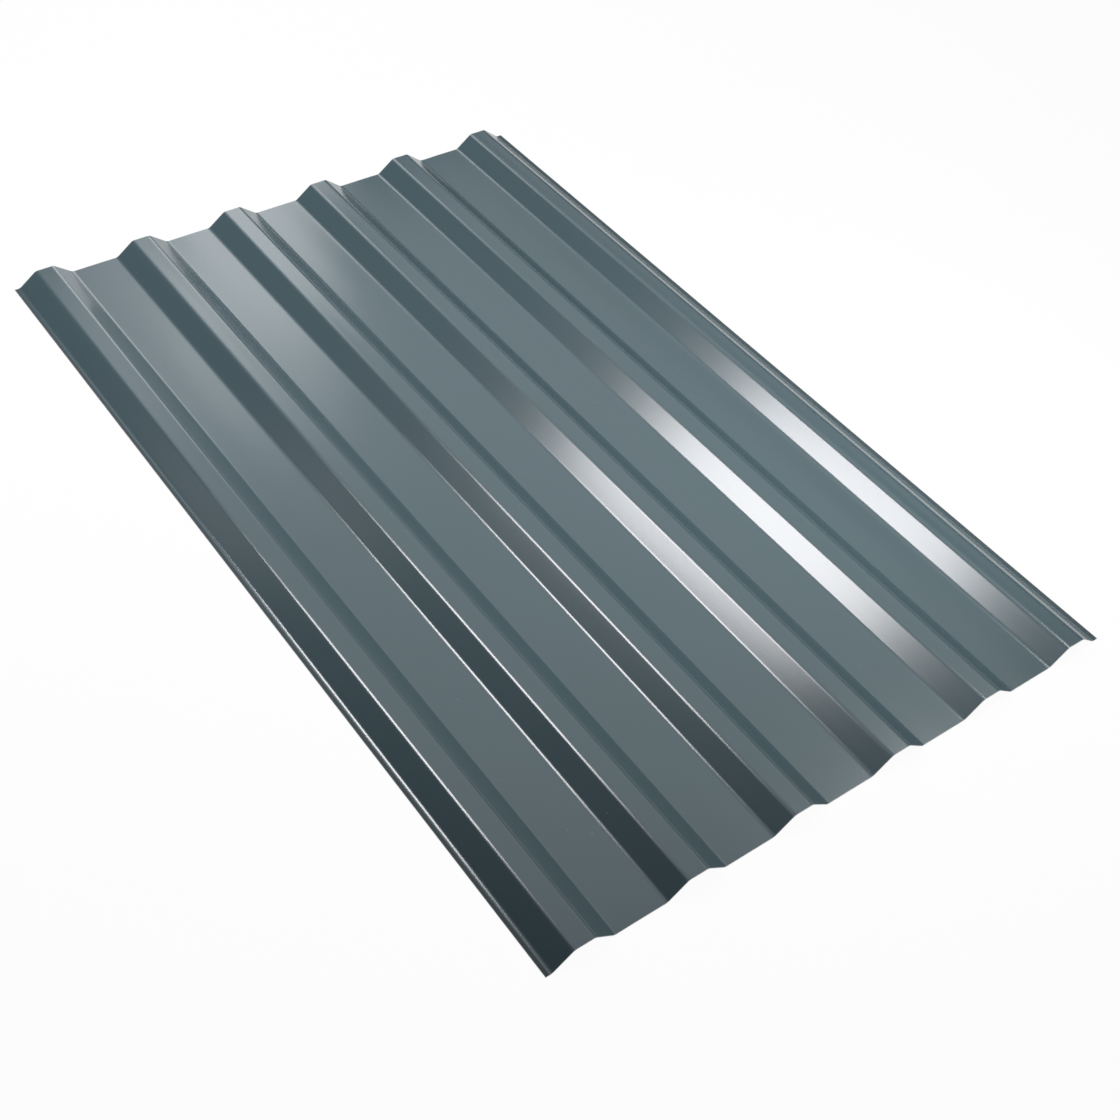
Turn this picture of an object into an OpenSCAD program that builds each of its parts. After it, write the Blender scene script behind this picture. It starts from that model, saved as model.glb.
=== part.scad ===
// Trapezoidal roofing and cladding sheet: one strip of coated steel, roll-formed into
// parallel ribs with wide flat pans between them and a narrow flat lip along each edge.
// X runs across the ribs, Y along them and Z up. The origin is the centre of the
// sheet, on the plane that the undersides of its pans lie on.

/* [Sheet] */
// Length of the sheet, along its ribs
sheet_length = 1200; // [300:10:6000]
// Thickness of the coated steel
sheet_thickness = 0.5; // [0.3:0.05:1.5]

/* [Ribs] */
// Number of ribs across the sheet
rib_count = 6; // [1:1:12]
// Distance from the middle of one rib to the middle of the next
rib_pitch = 137.5; // [90:0.5:300]
// Rise of the crests above the pans, from face to like face
rib_rise = 18.5; // [8:0.5:60]
// Width of a rib's flat crest, between the sharp corners of its folds
crest_width = 24.5; // [12:0.5:60]
// Width of a rib's foot, where its two webs reach the pans, between sharp corners
foot_width = 73; // [66:0.5:120]

/* [Edges] */
// Width of the flat lip outside each edge rib
lip_width = 7.5; // [4:0.5:30]

/* [Folds] */
// Radius on the inside of every fold
fold_radius = 9; // [1:0.25:10]
// Number of straight steps that make up the round of a fold
fold_steps = 6; // [2:1:12]

/* [Finish] */
// Colour of the coating, as red, green and blue shares
coating_colour = [0.34, 0.42, 0.44];

/* [Hidden] */

half_thickness = sheet_thickness / 2;
// Radius of a fold at the middle of the sheet's thickness
middle_radius = fold_radius + half_thickness;
half_width = (rib_count - 1) * rib_pitch / 2 + foot_width / 2 + lip_width;

// The four folds of one rib, as sharp corners at the middle of the thickness,
// from its left foot over its crest to its right foot.
function rib_corners(centre) = [
    [centre - foot_width / 2, half_thickness],
    [centre - crest_width / 2, half_thickness + rib_rise],
    [centre + crest_width / 2, half_thickness + rib_rise],
    [centre + foot_width / 2, half_thickness]
];

function rib_centre(rib) = (rib - (rib_count - 1) / 2) * rib_pitch;

// Every sharp corner of the section, from the left lip's edge to the right lip's.
corners = [
    [-half_width, half_thickness],
    for (rib = [0 : rib_count - 1]) each rib_corners(rib_centre(rib)),
    [half_width, half_thickness]
];
last_corner = len(corners) - 1;

function heading(from, to) = atan2(to.y - from.y, to.x - from.x);
function polar(radius, angle) = radius * [cos(angle), sin(angle)];

// The round of one fold on one face of the sheet. The upper face has side +1 and
// the lower face -1. Both faces turn about the same centre, which lies on the inside
// of the fold, so the sheet keeps its thickness all the way round.
function fold_points(before, corner, after, side) =
    let (
        heading_in = heading(before, corner),
        heading_out = heading(corner, after),
        turn = heading_out - heading_in,
        inside = sign(turn),
        bisector = (heading_in + heading_out) / 2 + 90 * inside,
        centre = corner + polar(middle_radius / cos(turn / 2), bisector),
        radius = middle_radius - inside * side * half_thickness
    )
    [
        for (step = [0 : fold_steps])
            centre + polar(radius, heading_in + turn * step / fold_steps - 90 * inside)
    ];

// One face of the section, from the left lip's edge to the right lip's.
function face_points(side) = [
    corners[0] + [0, side * half_thickness],
    for (i = [1 : last_corner - 1])
        each fold_points(corners[i - 1], corners[i], corners[i + 1], side),
    corners[last_corner] + [0, side * half_thickness]
];

function reversed(points) = [for (i = [len(points) - 1 : -1 : 0]) points[i]];

module sheet_section() {
    polygon(concat(face_points(1), reversed(face_points(-1))));
}

// The section is drawn in X and Z, and runs the whole length of the sheet in Y.
module profiled_sheet() {
    color(coating_colour)
        translate([0, sheet_length / 2, 0])
            rotate([90, 0, 0])
                linear_extrude(height = sheet_length)
                    sheet_section();
}

profiled_sheet();
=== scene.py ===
import math

import bpy
import numpy as np
from mathutils import Matrix, Vector


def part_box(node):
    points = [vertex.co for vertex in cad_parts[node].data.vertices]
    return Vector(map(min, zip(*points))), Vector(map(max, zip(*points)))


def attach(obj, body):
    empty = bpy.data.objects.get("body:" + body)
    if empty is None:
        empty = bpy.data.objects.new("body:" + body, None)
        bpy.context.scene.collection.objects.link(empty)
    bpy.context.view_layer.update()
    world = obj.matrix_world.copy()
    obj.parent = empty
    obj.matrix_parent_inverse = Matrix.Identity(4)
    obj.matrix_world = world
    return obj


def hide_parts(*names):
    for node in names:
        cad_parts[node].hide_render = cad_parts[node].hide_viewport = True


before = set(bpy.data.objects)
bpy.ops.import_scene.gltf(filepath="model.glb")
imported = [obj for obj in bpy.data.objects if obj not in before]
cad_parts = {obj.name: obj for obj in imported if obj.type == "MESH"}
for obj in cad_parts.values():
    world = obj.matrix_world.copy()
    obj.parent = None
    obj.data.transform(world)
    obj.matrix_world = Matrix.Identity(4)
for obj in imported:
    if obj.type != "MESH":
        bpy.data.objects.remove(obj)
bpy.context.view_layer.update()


# The profiled sheet: one strip of galvanised steel half a millimetre thick, roll-formed into
# six flat-topped ribs with wide pans between them, and sheared square at both ends. Its upper
# face is coil-coated slate grey, its back has a pale backing coat, and its cut edges are bare.
sheet_low, sheet_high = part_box("profiled_sheet")
RIB_COUNT = 6
RIB_PITCH = 0.1375
CREST_WIDTH = 0.0245
FOOT_WIDTH = 0.073
THICKNESS = 0.0005
FOLD_RADIUS = 0.009
MIDDLE_RADIUS = FOLD_RADIUS + THICKNESS / 2
FOLD_STEPS = 10
FLAT_SHARES = np.linspace(0.02, 0.98, 9)
LENGTH_STATIONS = 61
SHARP_ANGLE = math.radians(50)


def sharp_section():
    """The section's corners at the middle of the thickness, left to right: each rib's foot, crest,
    crest and foot stand half a width to the left and right of its centre, and the lips end the row."""
    lip = sheet_low.z + THICKNESS / 2
    rise = sheet_high.z - sheet_low.z - THICKNESS
    centres = (np.arange(RIB_COUNT) - (RIB_COUNT - 1) / 2) * RIB_PITCH
    across = np.array([-FOOT_WIDTH, -CREST_WIDTH, CREST_WIDTH, FOOT_WIDTH]) / 2
    x = (centres[:, None] + across).ravel()
    z = np.tile(lip + rise * np.array([0, 1, 1, 0]), RIB_COUNT)
    return np.column_stack([np.r_[sheet_low.x, x, sheet_high.x], np.r_[lip, z, lip]])


def folded_face(corners, side):
    """One face of the section, left to right. A fold is an arc about a centre on its inner side, at the
    fold's radius or that plus the thickness, and a flat is the straight line from arc to arc, cut at
    fixed shares of its length. side is +1 on the upper face and -1 on the lower one."""
    run = np.diff(corners, axis=0)
    heading = np.arctan2(run[:, 1], run[:, 0])
    turn = np.diff(heading)
    inner = np.sign(turn)
    bisector = (heading[:-1] + heading[1:]) / 2 + inner * math.pi / 2
    reach = MIDDLE_RADIUS / np.cos(turn / 2)
    centre = corners[1:-1] + reach[:, None] * np.column_stack([np.cos(bisector), np.sin(bisector)])
    radius = MIDDLE_RADIUS - inner * side * THICKNESS / 2
    share = np.linspace(0, 1, FOLD_STEPS + 1)
    angle = heading[:-1, None] + turn[:, None] * share - inner[:, None] * math.pi / 2
    arcs = centre[:, None] + radius[:, None, None] * np.stack([np.cos(angle), np.sin(angle)], 2)
    edge = corners[[0, -1]] + [0, side * THICKNESS / 2]
    starts = np.concatenate([edge[:1], arcs[:, -1]])
    stops = np.concatenate([arcs[:, 0], edge[1:]])
    flats = starts[:, None] + (stops - starts)[:, None] * FLAT_SHARES[:, None]
    strips = np.concatenate([flats[:-1], arcs], 1).reshape(-1, 2)
    return np.concatenate([edge[:1], strips, flats[-1], edge[1:]])


PAN_BULGE = 0.00022
CREST_DIP = 0.0001
FOLD_START = 0.35
WAVE_LENGTHS = np.array([0.83, 0.47, 0.29])
SLACK_SEED = 7


def slack(x, y):
    """How far the flats stand off their planes: a squared cosine across each flat, which ends FOLD_START
    fold radii short of its sharp corners, times a sum of sines along it, from nothing to PAN_BULGE
    upwards in a pan and to CREST_DIP downwards on a crest."""
    draws = np.random.default_rng(SLACK_SEED)
    shift = draws.uniform(0, 2 * math.pi, (4 * RIB_COUNT, len(WAVE_LENGTHS)))
    half_step = np.rint(x / (RIB_PITCH / 2)).astype(int)
    off_middle = np.abs(x - half_step * RIB_PITCH / 2)
    on_crest = half_step % 2 != 0
    half_width = np.where(on_crest, CREST_WIDTH / 2, (RIB_PITCH - FOOT_WIDTH) / 2)
    half_flat = half_width - MIDDLE_RADIUS * FOLD_START
    window = np.cos(np.clip(off_middle / half_flat, 0, 1) * math.pi / 2) ** 2
    phase = 2 * math.pi * y[..., None] / WAVE_LENGTHS + shift[half_step + 2 * RIB_COUNT]
    wave = 0.5 + np.sin(phase).mean(-1) / 2
    inside = np.abs(half_step) <= RIB_COUNT - 1
    return inside * window * wave * np.where(on_crest, -CREST_DIP, PAN_BULGE)


COAT, BACKING, CUT = range(3)


def sheet_mesh():
    """The closed section, upper face left to right and lower face back, carried along Y in equal steps,
    with each end closed by a strip of faces between the two faces. Also gives each face's finish."""
    upper, lower = (folded_face(sharp_section(), side) for side in (1, -1))
    count = len(upper)
    outline = np.concatenate([upper, lower[::-1]])
    y = np.linspace(sheet_low.y, sheet_high.y, LENGTH_STATIONS)
    grid = np.empty((LENGTH_STATIONS, 2 * count, 3))
    grid[..., 0] = outline[:, 0]
    grid[..., 1] = y[:, None]
    grid[..., 2] = outline[:, 1] + slack(*np.broadcast_arrays(outline[:, 0], y[:, None]))
    number = np.arange(LENGTH_STATIONS * 2 * count).reshape(LENGTH_STATIONS, 2 * count)
    after = np.roll(number, -1, 1)
    sides = np.stack([number[:-1], after[:-1], after[1:], number[1:]], 2)
    on_top, on_back = np.arange(count - 1), np.arange(2 * count - 1, count, -1)
    near_cap, far_cap = (
        np.stack([row[on_top], row[on_back], row[on_back - 1], row[on_top + 1]], 1)
        for row in (number[0], number[-1]))
    strip = np.full(2 * count, COAT)
    strip[count:] = BACKING
    strip[[count - 1, -1]] = CUT
    finish = np.concatenate([np.tile(strip, LENGTH_STATIONS - 1), np.full(2 * (count - 1), CUT)])
    faces = np.concatenate([sides.reshape(-1, 4), near_cap, far_cap[:, ::-1]])
    return grid.reshape(-1, 3), faces, finish


def make_mesh(name, points, faces):
    """A mesh object at the origin from whole arrays of points and four-sided faces."""
    mesh = bpy.data.meshes.new(name)
    mesh.from_pydata(points.tolist(), [], faces.tolist())
    mesh.polygons.foreach_set("use_smooth", np.ones(len(faces), bool))
    mesh.update()
    made = bpy.data.objects.new(name, mesh)
    bpy.context.scene.collection.objects.link(made)
    return made


class Signal:
    """One socket of a material's nodes. Arithmetic on it adds Math nodes, and node() adds any other."""

    def __init__(self, tree, socket=None):
        self.tree = tree
        self.socket = socket

    def node(self, kind, settings, values, output=0):
        """Adds a node of that kind, first with its settings, then with its sockets' values or links."""
        made = self.tree.nodes.new(kind)
        for name, setting in settings.items():
            setattr(made, name, setting)
        for name, value in values.items():
            if isinstance(value, Signal):
                self.tree.links.new(value.socket, made.inputs[name])
            else:
                made.inputs[name].default_value = value
        return Signal(self.tree, made.outputs[output] if len(made.outputs) else None)

    def math(self, operation, *values):
        """Adds a Math node on those values."""
        return self.node("ShaderNodeMath", {"operation": operation}, dict(enumerate(values)))

    def __add__(self, other):
        return self.math("ADD", self, other)

    def __sub__(self, other):
        return self.math("SUBTRACT", self, other)

    def __rsub__(self, other):
        return self.math("SUBTRACT", other, self)

    def __mul__(self, other):
        return self.math("MULTIPLY", self, other)

    def __abs__(self):
        return self.math("ABSOLUTE", self)

    __radd__ = __add__
    __rmul__ = __mul__


def new_finish(name):
    """A material with an empty node tree, the signal that adds nodes to it, and its Object coordinates."""
    finish = bpy.data.materials.new(name)
    finish.use_nodes = True
    finish.node_tree.nodes.clear()
    maker = Signal(finish.node_tree)
    return finish, maker, maker.node("ShaderNodeTexCoord", {}, {}, output="Object")


def close_finish(maker, surface):
    """Sends the finished shader to the material's output."""
    maker.node("ShaderNodeOutputMaterial", {}, {"Surface": surface})


def grain(maker, place, scale, stretch=(1, 1, 1), detail=2.0):
    """Smooth noise from 0 to 1 with that many waves to a metre, times the stretch along each axis."""
    stretched = maker.node("ShaderNodeMapping", {}, {"Vector": place, "Scale": stretch})
    return maker.node("ShaderNodeTexNoise", {}, {"Vector": stretched, "Scale": scale, "Detail": detail})


def blend(maker, share, first, second):
    """The first colour where the share is 0 and the second where it is 1."""
    return maker.node("ShaderNodeMix", {"data_type": "RGBA"}, {0: share, 6: first, 7: second}, output=2)


def fade(maker, value, near, far):
    """1 where the value is near or less, easing to 0 at far."""
    return maker.node("ShaderNodeMapRange", {"interpolation_type": "SMOOTHSTEP"}, {
        "Value": value, "From Min": near, "From Max": far, "To Min": 1.0, "To Max": 0.0})


PAINT_DEEP = (0.065, 0.107, 0.119, 1)
PAINT_PALE = (0.074, 0.113, 0.132, 1)
PAINT_GLOSS = 1.0
PAINT_ROUGHNESS = 0.185
CLOUD_WAVES = 5.0
CLOUD_SHARE = 0.6
CLOUD_ROUGHNESS = 0.02
STREAK_WAVES = (220, 2.5, 220)
STREAK_ROUGHNESS = 0.025
PEEL_WAVES = 650.0
PEEL_STRENGTH = 0.03
PEEL_HEIGHT = 0.0001
DUST = (0.3, 0.31, 0.31, 1)
DUST_SHARE = 0.35
DUST_ROUGHNESS = 0.25
SPECK_WAVES = 42.0
SPECK_EDGE = (0.012, 0.03)
RUB_MARKS = {(-0.257, -0.497, 0.0005): 0.3, (0.007, -0.574, 0.0005): 0.1}
RUB_EDGE = (0.0015, 0.0045)
RUB_RAGGED = 0.002
# The lips' colour below is painted shade: darker than the coat, not a colour the coat has.
LIP_PAINTED_SHADE = (0.068, 0.088, 0.097, 1)
LIP_GLOSS = 0.1
LIP_ROUGHNESS = 0.7
LIP_EDGE = (0.0042, 0.006)
LIP_RAGGED = 0.001
CHIP_ZINC = (0.36, 0.37, 0.38, 1)
CHIP_ROUGHNESS = 0.15
CHIP_WAVES = 500.0
CHIP_EDGE = (0.0, 0.0003)
CHIP_RAGGED = 0.0006


def coil_coat():
    """Slate polyester coat: cloudy patches and roller streaks along the strip shade its hue and gloss a
    little, and a fine orange peel breaks its reflections. Dust and rub marks dull it, the lips are matt
    and their colour is darkened as painted shade, and along the cut edges the shear has chipped it back
    to the zinc in a fine broken line."""
    finish, maker, place = new_finish("slate_coil_coat")
    cloud = grain(maker, place, CLOUD_WAVES, detail=3.0)
    streak = grain(maker, place, 1.0, stretch=STREAK_WAVES)
    peel = grain(maker, place, PEEL_WAVES, detail=1.0)
    speck = maker.node(
        "ShaderNodeTexVoronoi", {}, {"Vector": place, "Scale": SPECK_WAVES}, output="Distance")
    dull = fade(maker, speck, *SPECK_EDGE)
    for mark, depth in RUB_MARKS.items():
        reach = maker.node(
            "ShaderNodeVectorMath", {"operation": "DISTANCE"}, {0: place, 1: mark}, output="Value")
        dull = dull.math("MAXIMUM", dull, fade(maker, reach + peel * RUB_RAGGED, *RUB_EDGE) * depth)
    across, along = (
        maker.node("ShaderNodeSeparateXYZ", {}, {"Vector": place}, output=axis) for axis in "XY")
    from_side = sheet_high.x - abs(across)
    rim = from_side.math("MINIMUM", from_side, sheet_high.y - abs(along))
    chip = fade(maker, rim - grain(maker, place, CHIP_WAVES) * CHIP_RAGGED, *CHIP_EDGE)
    on_lip = fade(maker, from_side + streak * LIP_RAGGED, *LIP_EDGE)
    paint = blend(maker, cloud * CLOUD_SHARE + streak * (1 - CLOUD_SHARE), PAINT_DEEP, PAINT_PALE)
    # Painted shade: the lips' colour is darkened here.
    lip_painted_shade = blend(maker, on_lip, paint, LIP_PAINTED_SHADE)
    dusty = blend(maker, dull * DUST_SHARE, lip_painted_shade, DUST)
    colour = blend(maker, chip, dusty, CHIP_ZINC)
    wear = dull * DUST_ROUGHNESS + chip * CHIP_ROUGHNESS
    rough = PAINT_ROUGHNESS + cloud * CLOUD_ROUGHNESS + streak * STREAK_ROUGHNESS + wear
    bump = maker.node("ShaderNodeBump", {}, {
        "Strength": PEEL_STRENGTH, "Distance": PEEL_HEIGHT, "Height": peel})
    gloss = maker.node("ShaderNodeBsdfPrincipled", {}, {
        "Base Color": colour, "Roughness": rough, "Specular IOR Level": PAINT_GLOSS, "Normal": bump})
    matt = maker.node("ShaderNodeBsdfPrincipled", {}, {
        "Base Color": colour, "Roughness": LIP_ROUGHNESS, "Specular IOR Level": LIP_GLOSS, "Normal": bump})
    close_finish(maker, maker.node("ShaderNodeMixShader", {}, {0: on_lip, 1: gloss, 2: matt}))
    return finish


BACK_DEEP = (0.42, 0.43, 0.42, 1)
BACK_PALE = (0.5, 0.51, 0.5, 1)
BACK_ROUGHNESS = 0.38
BACK_CLOUD_WAVES = 9.0
BACK_RUB_WAVES = (300, 4, 300)
BACK_RUB_ROUGHNESS = 0.1


def backing_coat():
    """Thin pale-grey lacquer on the back, mottled, and rubbed along the strip by the rolls."""
    finish, maker, place = new_finish("pale_backing_coat")
    cloud = grain(maker, place, BACK_CLOUD_WAVES, detail=4.0)
    rub = grain(maker, place, 1.0, stretch=BACK_RUB_WAVES)
    colour = blend(maker, (cloud + rub) * 0.5, BACK_DEEP, BACK_PALE)
    close_finish(maker, maker.node("ShaderNodeBsdfPrincipled", {}, {
        "Base Color": colour, "Roughness": BACK_ROUGHNESS + rub * BACK_RUB_ROUGHNESS}))
    return finish


EDGE_DULL = (0.22, 0.23, 0.24, 1)
EDGE_BRIGHT = (0.48, 0.49, 0.5, 1)
EDGE_METALLIC = 0.6
EDGE_ROUGHNESS = 0.3
BAND_WAVES = 900.0
BAND_ROUGHNESS = 0.15


def cut_edge():
    """Bare sheared steel with the zinc dragged over it, in fine bright and dull bands."""
    finish, maker, place = new_finish("sheared_zinc_edge")
    band = grain(maker, place, BAND_WAVES)
    colour = blend(maker, band, EDGE_DULL, EDGE_BRIGHT)
    close_finish(maker, maker.node("ShaderNodeBsdfPrincipled", {}, {
        "Base Color": colour, "Metallic": EDGE_METALLIC,
        "Roughness": EDGE_ROUGHNESS + band * BAND_ROUGHNESS}))
    return finish


sheet_points, sheet_faces, sheet_finish = sheet_mesh()
sheet = make_mesh("profiled_sheet_coated", sheet_points, sheet_faces)
for finish in (coil_coat(), backing_coat(), cut_edge()):
    sheet.data.materials.append(finish)
sheet.data.polygons.foreach_set("material_index", sheet_finish.astype(np.int32))
sheet.data.set_sharp_from_angle(angle=SHARP_ANGLE)
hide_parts("profiled_sheet")
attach(sheet, "root")


# The studio floor: one seamless sweep of white paper that lies flat under the sheet and curves
# up far around it. It shows as plain white, and keeps a little of the sheet's shadow.
FLOOR_HALF = 40.0
FLOOR_LEVEL = -0.0003
FLOOR_CELLS = 60
SWEEP_START = 25.0
SWEEP_RUN = 13.0
SWEEP_RISE = 6.0
PAPER_DEEP = (0.86, 0.86, 0.86, 1)
PAPER_PALE = (0.9, 0.9, 0.9, 1)
PAPER_WAVES = 3.0
LIT_SHARE = 0.04
WHITE_TO = ("Is Camera Ray", "Is Glossy Ray", "Is Transmission Ray")


def paper_sweep():
    """A square grid in X and Y. Past SWEEP_START from the middle it rises by a smooth step of the
    distance, over SWEEP_RUN, to SWEEP_RISE."""
    line = np.linspace(-FLOOR_HALF, FLOOR_HALF, FLOOR_CELLS + 1)
    x, y = np.meshgrid(line, line)
    step = np.clip((np.hypot(x, y) - SWEEP_START) / SWEEP_RUN, 0, 1)
    z = FLOOR_LEVEL + SWEEP_RISE * step ** 2 * (3 - 2 * step)
    number = np.arange(x.size).reshape(x.shape)
    cells = np.stack([number[:-1, :-1], number[:-1, 1:], number[1:, 1:], number[1:, :-1]], 2)
    return np.stack([x, y, z], 2).reshape(-1, 3), cells.reshape(-1, 4)


def white_paper():
    """White paper that camera, mirrored and refracted rays see as plain white with a share of its lit
    shade, and that all other rays see as white paper."""
    finish, maker, place = new_finish("white_paper")
    seen = sum(maker.node("ShaderNodeLightPath", {}, {}, output=ray) for ray in WHITE_TO)
    shade = blend(maker, grain(maker, place, PAPER_WAVES), PAPER_DEEP, PAPER_PALE)
    paper = maker.node("ShaderNodeBsdfDiffuse", {}, {"Color": shade})
    white = maker.node("ShaderNodeEmission", {}, {"Color": (1, 1, 1, 1), "Strength": 1.0})
    share = seen.math("MINIMUM", seen, 1.0) * (1 - LIT_SHARE)
    close_finish(maker, maker.node("ShaderNodeMixShader", {}, {0: share, 1: paper, 2: white}))
    return finish


floor = make_mesh("paper_floor", *paper_sweep())
floor.data.materials.append(white_paper())


# The studio light: soft boxes around the sheet in a dim room. One hangs over the far left corner, two
# stand low beyond the far end, one is close by on the right and one is a dim card far to the left. Two
# are wide dim panels high beyond the far end. A row gives place, aim, size, brightness and tint.
ROOM_SHADE = (0.01, 0.01, 0.01, 1)
SOFT_BOXES = {
    "corner_box": ((-0.62, 0.51, 1.25), (0.97, 0.75, 0), (0.77, 0.6), 12, (1.02, 1, 1.02)),
    "far_end_box": ((0.59, 1.99, 0.81), (0.14, 0.05, 0), (0.36, 1.06), 1.9, (1, 1, 1.01)),
    "far_fill": ((0.35, 1.67, 0.75), (-0.42, 0.18, 0), (0.62, 1.06), 1.1, (0.99, 1, 1.02)),
    "near_box": ((0.53, -0.49, 0.73), (0.1, 0.52, 0), (0.36, 0.4), 15.5, (0.99, 1, 0.99)),
    "left_card": ((-1.72, 1.58, 1.17), (-0.08, -0.08, 0), (0.37, 0.53), 0.6, (1.01, 1, 1)),
    "wide_panel": ((1.15, 1.43, 1.96), (-0.37, 1.5, 0), (2.66, 1.54), 0.75, (0.93, 1, 1.03)),
    "top_panel": ((0.03, 1.85, 2.5), (0.03, 1.8, 0), (1.04, 3.3), 0.75, (0.96, 1, 1.02)),
}


def soft_box(name, place, aim, size, brightness, tint):
    """A rectangular lamp, slightly tinted, that faces its aim and is level along its first side. Its power
    is pi times its area times its brightness, where a brightness of 1 looks white."""
    lamp = bpy.data.lights.new(name, "AREA")
    lamp.shape = "RECTANGLE"
    lamp.size, lamp.size_y = size
    lamp.energy = math.pi * size[0] * size[1] * brightness
    lamp.color = tint
    holder = bpy.data.objects.new(name, lamp)
    turn = (Vector(aim) - Vector(place)).to_track_quat("-Z", "Y")
    holder.matrix_world = Matrix.LocRotScale(Vector(place), turn, None)
    bpy.context.scene.collection.objects.link(holder)


for box_name, box in SOFT_BOXES.items():
    soft_box(box_name, *box)
room = bpy.data.worlds.new("dim_room")
room.use_nodes = True
room.node_tree.nodes["Background"].inputs["Color"].default_value = ROOM_SHADE
bpy.context.scene.world = room
bpy.context.scene.view_settings.view_transform = "Standard"


# The camera: a view over the near left corner that looks down along the ribs, a little rolled. It
# reaches far enough to show the sweep of paper behind the sheet.
EYE = Vector((-0.9014, -1.1517, 1.3381))
AIM = Vector((-0.063, -0.1757, 0.0))
ROLL = math.radians(6.46)
LENS = 51.8
SENSOR = 36.0
SIGHT = 100.0
ahead = (AIM - EYE).normalized()
level = ahead.cross(Vector((0, 0, 1))).normalized()
drop = ahead.cross(level)
right = level * math.cos(ROLL) - drop * math.sin(ROLL)
up = -(level * math.sin(ROLL) + drop * math.cos(ROLL))
lens = bpy.data.cameras.new("studio_camera")
lens.lens, lens.sensor_width, lens.sensor_fit = LENS, SENSOR, "HORIZONTAL"
lens.clip_end = SIGHT
camera = bpy.data.objects.new("studio_camera", lens)
camera.matrix_world = Matrix.Translation(EYE) @ Matrix((right, up, -ahead)).transposed().to_4x4()
bpy.context.scene.collection.objects.link(camera)
bpy.context.scene.camera = camera
